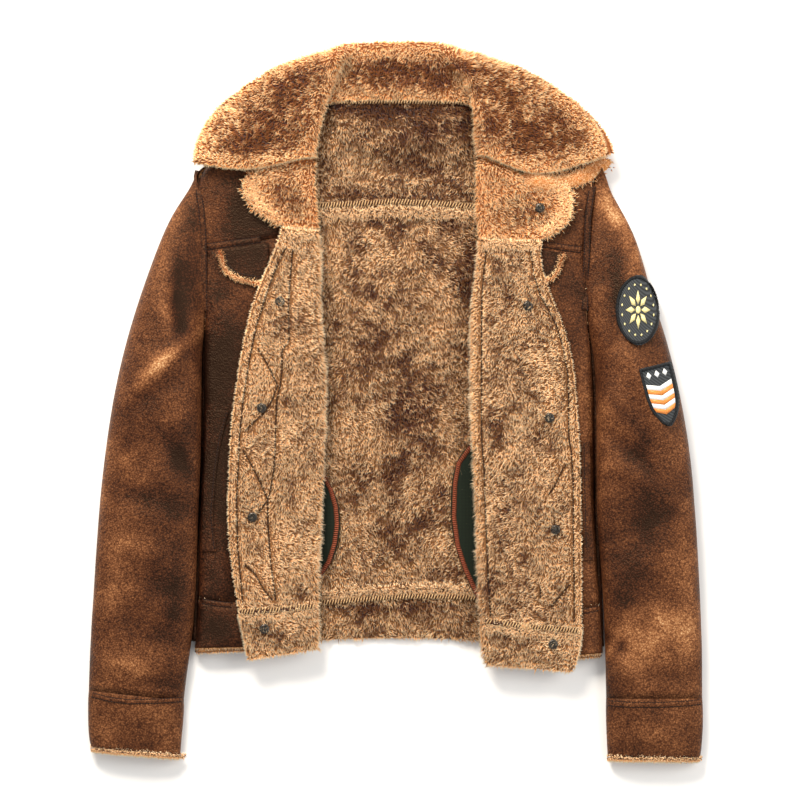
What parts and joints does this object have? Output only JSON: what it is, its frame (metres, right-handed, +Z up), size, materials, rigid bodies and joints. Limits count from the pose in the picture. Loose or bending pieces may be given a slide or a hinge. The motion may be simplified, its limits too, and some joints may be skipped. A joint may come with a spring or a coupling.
{
  "type": "leather jacket laid flat",
  "caption": "Short brown faux-shearling jacket, laid flat on its back with both fronts folded open to show the fleece, a wide fleece collar, press studs and two sleeve patches.",
  "frame": {"origin": "bottom centre of the bounding box, on the surface that the jacket lies on", "axes": "+X to the wearer's left, +Y from the hem to the collar, +Z up from the surface that the jacket lies on"},
  "size_m": [0.6941, 0.8098, 0.0548],
  "materials": {
    "suede": "distressed bonded suede with a fine pebbled grain, darker in rubbed patches",
    "fleece": "dense long pile fleece, pale tips over a darker rust ground",
    "collar_fleece": "dense long pile fleece in a warmer orange brown",
    "pocketing": "plain woven pocket lining, dark green",
    "overlock": "overlocked thread edge",
    "gunmetal": "dark plated press studs",
    "badge_cloth": "charcoal twill patch with a merrowed black edge and embroidery"
  },
  "bodies": {
    "root": {"back_yoke": "suede", "back_panel": "suede", "back_band": "suede", "front_panel_R": "suede", "front_band_R": "suede", "front_yoke_R": "suede", "sleeve_R": "suede", "cuff_R": "suede", "armhole_strip_R": "suede", "collar_stand_R": "fleece", "pocket_flap_R": "suede", "pocket_welt_R": "suede", "pocket_bag_R": "pocketing", "front_panel_L": "suede", "front_band_L": "suede", "front_yoke_L": "suede", "sleeve_L": "suede", "cuff_L": "suede", "armhole_strip_L": "suede", "collar_stand_L": "fleece", "pocket_flap_L": "suede", "pocket_welt_L": "suede", "pocket_bag_L": "pocketing", "collar_upper": "collar_fleece", "collar_under": "fleece", "patch_round": "badge_cloth", "patch_shield": "badge_cloth", "press_stud_R1": "gunmetal", "press_stud_R2": "gunmetal", "press_stud_R3": "gunmetal", "press_stud_R4": "gunmetal", "press_stud_L1": "gunmetal", "press_stud_L2": "gunmetal", "press_stud_L3": "gunmetal", "press_stud_L4": "gunmetal", "press_stud_L5": "gunmetal"}
  },
  "joints": []
}
